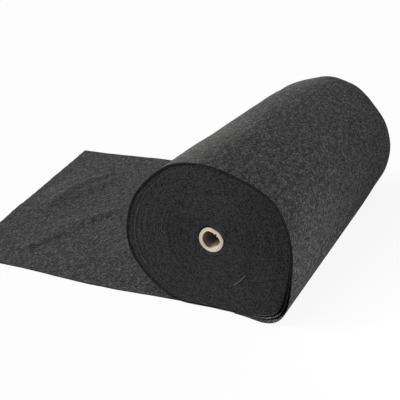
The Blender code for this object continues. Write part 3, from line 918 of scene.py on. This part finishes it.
def felt_face_material(needled_felt):
    """The web's two faces, from its own flat coordinates. A painted highlight lightens the roll's left
    shoulder near its end.
    """
    made, graph, shader = start_material("felt_face", roughness=0.95, sheen=0.015)
    place = graph.node("ShaderNodeUVMap", uv_map="UVMap").outputs["UV"]
    felt = graph.group(needled_felt, Vector=place, Dark=felt_dark, Pale=felt_pale, Fibre=felt_fibre,
                       **felt_amounts)
    # Painted highlight: pale where the light falls on the left shoulder near the end, broken up by noise
    away = graph.vector("DIVIDE", graph.vector("SUBTRACT", place, (*painted_highlight_middle, 0.0)), (*painted_highlight_reach, 1.0))
    away = graph.vector("LENGTH", away, result="Value")
    broken = graph.cloud(place, painted_highlight_breaks, 0.5 * painted_highlight_share, painted_highlight_share)
    painted_highlight = graph.math("MULTIPLY", graph.spread(away, *painted_highlight_fade, 1.0, 0.0), broken)
    graph.feed(shader.inputs["Roughness"], felt["Roughness"])
    colour = graph.mix(painted_highlight, felt["Color"], shoulder_painted_highlight)
    dress(graph, shader, colour, felt["Height"], distance=0.0010, strength=0.35)
    return made


def felt_edge_material(cut_edge):
    """The cut edges of the web, from its own flat coordinates."""
    made, graph, shader = start_material("felt_edge", roughness=1.0, sheen=0.02)
    place = graph.node("ShaderNodeUVMap", uv_map="UVMap").outputs["UV"]
    place = graph.vector("MULTIPLY", place, rim_speckle_scales)
    edge = graph.group(cut_edge, Vector=place, Layer=0.5, Dark=rim_dark, Pale=rim_pale)
    dress(graph, shader, edge["Color"], edge["Height"], distance=0.0010, strength=0.6)
    return made


def layer_end_material(cut_edge):
    """The ends of the wound layers: a fine speckle, a faint line between layers, painted shade that turns
    them black deep in cracks and the hole, and painted shade toward the right.
    """
    made, graph, shader = start_material("layer_ends", roughness=1.0, sheen=0.02)
    place = graph.node("ShaderNodeTexCoord").outputs["Object"]
    layer = graph.node("ShaderNodeAttribute", attribute_name="layer").outputs["Fac"]
    edge = graph.group(cut_edge, Vector=graph.scale(place, edge_speckle_scale), Layer=layer,
                       Dark=edge_dark, Pale=edge_pale)
    parts = graph.parts(place)
    # Painted shade: darker deep in the hole and cracks, and toward the right
    depth = graph.math("SUBTRACT", half_width, graph.math("ABSOLUTE", parts["Y"]))
    open_to_light = graph.spread(depth, *crack_depths, 1.0, crack_shade)
    shade = graph.math("MULTIPLY", open_to_light, graph.spread(parts["X"], *painted_side_shade_places, *painted_side_shades))
    colour = graph.scale(edge["Color"], shade)
    dress(graph, shader, colour, edge["Height"], distance=0.0012, strength=0.6)
    return made


def core_places(graph):
    """A place on the core, the same from the core's axis, and that with its part along the core left out."""
    place = graph.node("ShaderNodeTexCoord").outputs["Object"]
    from_axis = graph.vector("SUBTRACT", place, (core_axis[0], 0.0, core_axis[1]))
    return place, from_axis, graph.vector("MULTIPLY", from_axis, (1.0, 0.0, 1.0))


def board_material(board_stock):
    """The board's cut ends, ringed by its papers."""
    made, graph, shader = start_material("core_board", roughness=0.9)
    place, _, across = core_places(graph)
    radius = graph.vector("LENGTH", across, result="Value")
    papers = graph.math("SINE", graph.math("MULTIPLY", radius, math.tau / paper_pitch))
    stock = graph.group(board_stock, Vector=place, Papers=papers, Pale=board_pale, Deep=board_deep)
    dress(graph, shader, stock["Color"], stock["Height"], distance=0.0004, strength=0.5)
    return made


def kraft_material(board_stock):
    """The core's brown skins, wound on a slant. Painted shade turns the outer one near black. A painted pool
    of light lies on the bore's lower right near its mouth.
    """
    made, graph, shader = start_material("core_kraft", roughness=0.8)
    place, from_axis, across = core_places(graph)
    parts = graph.parts(from_axis)
    angle = graph.math("ARCTAN2", parts["Z"], parts["X"])
    turns = graph.math("DIVIDE", parts["Y"], seam_pitch)
    slant = graph.math("ADD", turns, graph.math("DIVIDE", angle, math.tau))
    from_seam = graph.math("ABSOLUTE", graph.math("SUBTRACT", graph.math("FRACT", slant), 0.5))
    seam = graph.spread(from_seam, 0.0, seam_half, seam_shade, 0.0)
    stock = graph.group(board_stock, Vector=place, Papers=seam, Pale=kraft_pale, Deep=kraft_deep)
    # Painted pool of light on the bore's lower right near its mouth
    painted_light_way = (math.cos(painted_light_angle), 0.0, math.sin(painted_light_angle))
    aside = graph.vector("DOT_PRODUCT", across, painted_light_way, result="Value")
    painted_light = graph.spread(aside, *(share * core_bore_radius for share in painted_light_shares))
    near = graph.spread(parts["Y"], -half_width, painted_light_depth - half_width, 1.0, 0.0)
    skin = graph.mix(graph.math("MULTIPLY", painted_light, near), stock["Color"], painted_light_kraft)
    # Painted shade: the cover's outer skin is near black, as the gap round the core is dark
    cover_inside = core_radius - board_thicknesses[-1]
    radius = graph.vector("LENGTH", across, result="Value")
    skin_painted_shade = graph.spread(radius, cover_inside, (cover_inside + core_radius) / 2.0)
    colour = graph.mix(skin_painted_shade, skin, painted_shade_skin)
    dress(graph, shader, colour, stock["Height"], distance=0.0003, strength=0.4)
    return made


def stray_fibre_material(name, dark, pale):
    """Loose fibres, each as bright as its own shade says."""
    made, graph, shader = start_material(name, roughness=0.7, sheen=0.1)
    shade = graph.node("ShaderNodeAttribute", attribute_name="shade").outputs["Fac"]
    graph.feed(shader.inputs["Base Color"], graph.mix(shade, dark, pale))
    return made


# Loose fibres, scattered and aligned in Geometry Nodes
def stray_fibre_tree():
    """Scatters short bowed fibres over a mesh where its fuzz attribute says, along its run attribute."""
    graph, given, out = new_group(
        "stray_fibres",
        {"Geometry": "Geometry", "Density": "Float", "Length": "Float", "Radius": "Float", "Spread": "Float",
         "Tilt": "Float", "Seed": "Int", "Finish": "Material"},
        {"Geometry": "Geometry"}, kind="GeometryNodeTree")
    seed, full_length = given["Seed"], given["Length"]

    def attribute(name, kind):
        found = graph.node("GeometryNodeInputNamedAttribute", {"Name": name}, data_type=kind)
        return found.outputs["Attribute"]

    def keep(geometry, name, value, kind, domain):
        kept = graph.node("GeometryNodeStoreNamedAttribute", {"Geometry": geometry, "Name": name},
                          data_type=kind, domain=domain)
        graph.feed(next(socket for socket in kept.inputs if socket.name == "Value" and socket.enabled), value)
        return kept.outputs[0]

    def random(low, high, salt):
        made = graph.node("FunctionNodeRandomValue", data_type="FLOAT")
        salted = graph.math("ADD", seed, float(salt))
        for identifier, value in (("Min_001", low), ("Max_001", high), ("Seed", salted)):
            graph.feed(by_identifier(made.inputs, identifier), value)
        return by_identifier(made.outputs, "Value_001")

    places = graph.node("GeometryNodeDistributePointsOnFaces", {
        "Mesh": given["Geometry"], "Seed": seed,
        "Density": graph.math("MULTIPLY", given["Density"], attribute("fuzz", "FLOAT"))}).outputs
    points = keep(places["Points"], "skin_normal", places["Normal"], "FLOAT_VECTOR", "POINT")
    normal = attribute("skin_normal", "FLOAT_VECTOR")
    aside = graph.node("ShaderNodeVectorRotate", {
        "Vector": attribute("run", "FLOAT_VECTOR"), "Axis": normal,
        "Angle": graph.math("MULTIPLY", given["Spread"], random(-1.0, 1.0, salt=1))},
        rotation_type="AXIS_ANGLE")
    upward = graph.scale(normal, graph.math("MULTIPLY", given["Tilt"], random(0.0, 1.0, salt=2)))
    heading = graph.vector("ADD", aside.outputs[0], upward)
    turned = graph.node("FunctionNodeAlignRotationToVector", {"Vector": heading}, axis="Z")
    rolled = graph.node("FunctionNodeAxisAngleToRotation", {
        "Axis": (0.0, 0.0, 1.0), "Angle": random(0.0, math.tau, salt=3)})
    both = graph.node("FunctionNodeRotateRotation", {
        "Rotation": turned.outputs[0], "Rotate By": rolled.outputs[0]}, rotation_space="LOCAL")
    length = graph.math("MULTIPLY", full_length, random(stray_least, 1.0, salt=4))
    bow = graph.math("MULTIPLY", full_length, stray_bow)
    ends = (graph.math("MULTIPLY", full_length, share) for share in (-0.5, 0.5))
    start, end = (graph.node("ShaderNodeCombineXYZ", {"Z": up}).outputs[0] for up in ends)
    middle = graph.node("ShaderNodeCombineXYZ", {"X": bow}).outputs[0]
    line = graph.node("GeometryNodeCurveQuadraticBezier", {
        "Resolution": stray_points, "Start": start, "Middle": middle, "End": end})
    profile = graph.node("GeometryNodeCurvePrimitiveCircle", {
        "Resolution": stray_sides, "Radius": given["Radius"]}, mode="RADIUS")
    fibre = graph.node("GeometryNodeCurveToMesh", {
        "Curve": line.outputs[0], "Profile Curve": profile.outputs[0], "Fill Caps": True})
    size = graph.math("DIVIDE", length, full_length)
    scale = graph.node("ShaderNodeCombineXYZ", {"X": size, "Y": 1.0, "Z": size})
    placed = graph.node("GeometryNodeInstanceOnPoints", {
        "Points": points, "Instance": fibre.outputs[0], "Rotation": both.outputs[0],
        "Scale": scale.outputs[0]})
    shaded = keep(placed.outputs[0], "shade", random(0.0, 1.0, salt=5), "FLOAT", "INSTANCE")
    real = graph.node("GeometryNodeRealizeInstances", {"Geometry": shaded})
    dressed = graph.node("GeometryNodeSetMaterial", {
        "Geometry": real.outputs[0], "Material": given["Finish"]})
    graph.feed(out["Geometry"], dressed.outputs[0])
    return graph.tree


def grow_fibres(name, tree, source, settings):
    """Fibres that grow on source, as a mesh of their own."""
    holder = add_object(name + "_source", source.data.copy())
    modifier = holder.modifiers.new("stray_fibres", "NODES")
    modifier.node_group = tree
    sockets = {socket.name: socket.identifier for socket in tree.interface.items_tree
               if socket.in_out == "INPUT"}
    for label, value in settings.items():
        modifier[sockets[label]] = value
    bpy.context.view_layer.update()
    evaluated = holder.evaluated_get(bpy.context.evaluated_depsgraph_get())
    mesh = bpy.data.meshes.new_from_object(evaluated)
    bpy.data.objects.remove(holder)
    return add_object(name, mesh)


# Light, floor and camera
def white_world():
    """An even white surround: the camera sees it as white, and it lights softly."""
    world = bpy.data.worlds.new("white_surround")
    bpy.context.scene.world = world
    world.use_nodes = True
    graph = Graph(world.node_tree)
    rays = graph.node("ShaderNodeLightPath").outputs
    seen = graph.math("MAXIMUM", rays["Is Camera Ray"], rays["Is Transmission Ray"])
    background = world.node_tree.nodes["Background"]
    graph.feed(background.inputs["Color"], graph.mix(seen, (surround_light,) * 3, (1.0,) * 3))


def pale_floor():
    """A wide pale floor that keeps the shadow. Seen from the camera it is lifted to white."""
    corners = [(floor_reach * across, floor_reach * along, floor_height)
               for across, along in ((-1, -1), (1, -1), (1, 1), (-1, 1))]
    mesh = bpy.data.meshes.new("floor")
    mesh.from_pydata(corners, [], [(0, 1, 2, 3)])
    floor = add_object("floor", mesh)
    made, graph, shader = start_material("pale_floor", roughness=1.0, nap=0.0)
    seen = graph.node("ShaderNodeLightPath").outputs["Is Camera Ray"]
    tones = (("Base Color", floor_tone, floor_tone_seen), ("Emission Color", 0.0, floor_lift))
    for label, tone, tone_seen in tones:
        graph.feed(shader.inputs[label], graph.mix(seen, (tone,) * 3, (tone_seen,) * 3))
    shader.inputs["Specular IOR Level"].default_value = 0.0
    shader.inputs["Emission Strength"].default_value = 1.0
    mesh.materials.append(made)


def add_lamp(name, kind, direction, energy):
    light = bpy.data.lights.new(name, kind)
    light.energy = energy
    lamp = add_object(name, light)
    lamp.rotation_euler = Vector(direction).to_track_quat("-Z", "Y").to_euler()
    return lamp


def soft_light():
    """Broad lights from above, from low on the left and from the front, and a soft panel low on the right."""
    for name, direction, strength, angle_deg in suns:
        sun = add_lamp(name, "SUN", direction, strength)
        sun.data.angle = math.radians(angle_deg)
    panel = add_lamp("right_panel", "AREA", Vector(panel_target) - Vector(panel_place), panel_power)
    panel.data.size = panel_size
    panel.location = panel_place
    panel.visible_camera = False


def photo_camera():
    """The camera that the photo was taken with, as fitted to it."""
    data = bpy.data.cameras.new("photo_camera")
    data.sensor_fit, data.sensor_width, data.lens = "HORIZONTAL", camera_sensor, camera_lens
    data.clip_end = camera_clip
    camera = add_object("photo_camera", data)
    ahead = Vector((math.sin(camera_yaw) * math.cos(camera_pitch),
                    math.cos(camera_yaw) * math.cos(camera_pitch), -math.sin(camera_pitch)))
    right = Vector((math.cos(camera_yaw), -math.sin(camera_yaw), 0.0))
    right = Matrix.Rotation(camera_roll, 3, ahead) @ right
    turn = Matrix((right, right.cross(ahead), -ahead)).transposed()
    camera.matrix_world = Matrix.Translation(camera_place) @ turn.to_4x4()
    bpy.context.scene.camera = camera


# The object, piece by piece
def main():
    cut_edge, board_stock = cut_edge_group(), board_stock_group()
    face, rim = felt_face_material(needled_felt_group(fibre_layer_group())), felt_edge_material(cut_edge)
    ends = layer_end_material(cut_edge)
    loose_fibre = stray_fibre_material("loose_fibres", stray_dark, stray_pale)
    short_fibre = stray_fibre_material("short_fibres", short_dark, short_pale)

    laid = laid_web((face, rim))
    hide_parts("lead_sheet", "lead_flap")

    wound = wound_web((face, rim))
    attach(wound, "roll")
    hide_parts("outer_turns")

    sagged, heart = sagged_ends(ends), heart_ends(ends)
    for piece, node, body in ((sagged, "sagged_layers", "roll"), (heart, "round_layers", "package")):
        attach(piece, body)
        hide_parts(node)
    for name, side in (("near_collar", -1), ("far_collar", 1)):
        collar = core_collar(name, side, ends)
        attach(collar, "core")
    core_pieces((board_material(board_stock), kraft_material(board_stock)))
    tuft = lint_tuft(loose_fibre)
    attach(tuft, "package")

    fibres = stray_fibre_tree()
    growths = (
        ("lead_loose_fibres", laid, "lead", loose_fibre, long_fibres),
        ("roll_loose_fibres", wound, "roll", loose_fibre, long_fibres),
        ("sagged_end_loose_fibres", sagged, "roll", short_fibre, short_fibres),
        ("heart_end_loose_fibres", heart, "package", short_fibre, short_fibres))
    for seed, (name, source, body, finish, growth) in enumerate(growths, 1):
        grown = grow_fibres(name, fibres, source, {
            **growth, "Radius": stray_radius, "Seed": seed, "Finish": finish})
        if body == "lead":
            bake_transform(grown)
        else:
            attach(grown, body)
    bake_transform(laid)

    white_world()
    pale_floor()
    soft_light()
    photo_camera()
    bpy.context.scene.view_settings.view_transform = "Standard"


main()
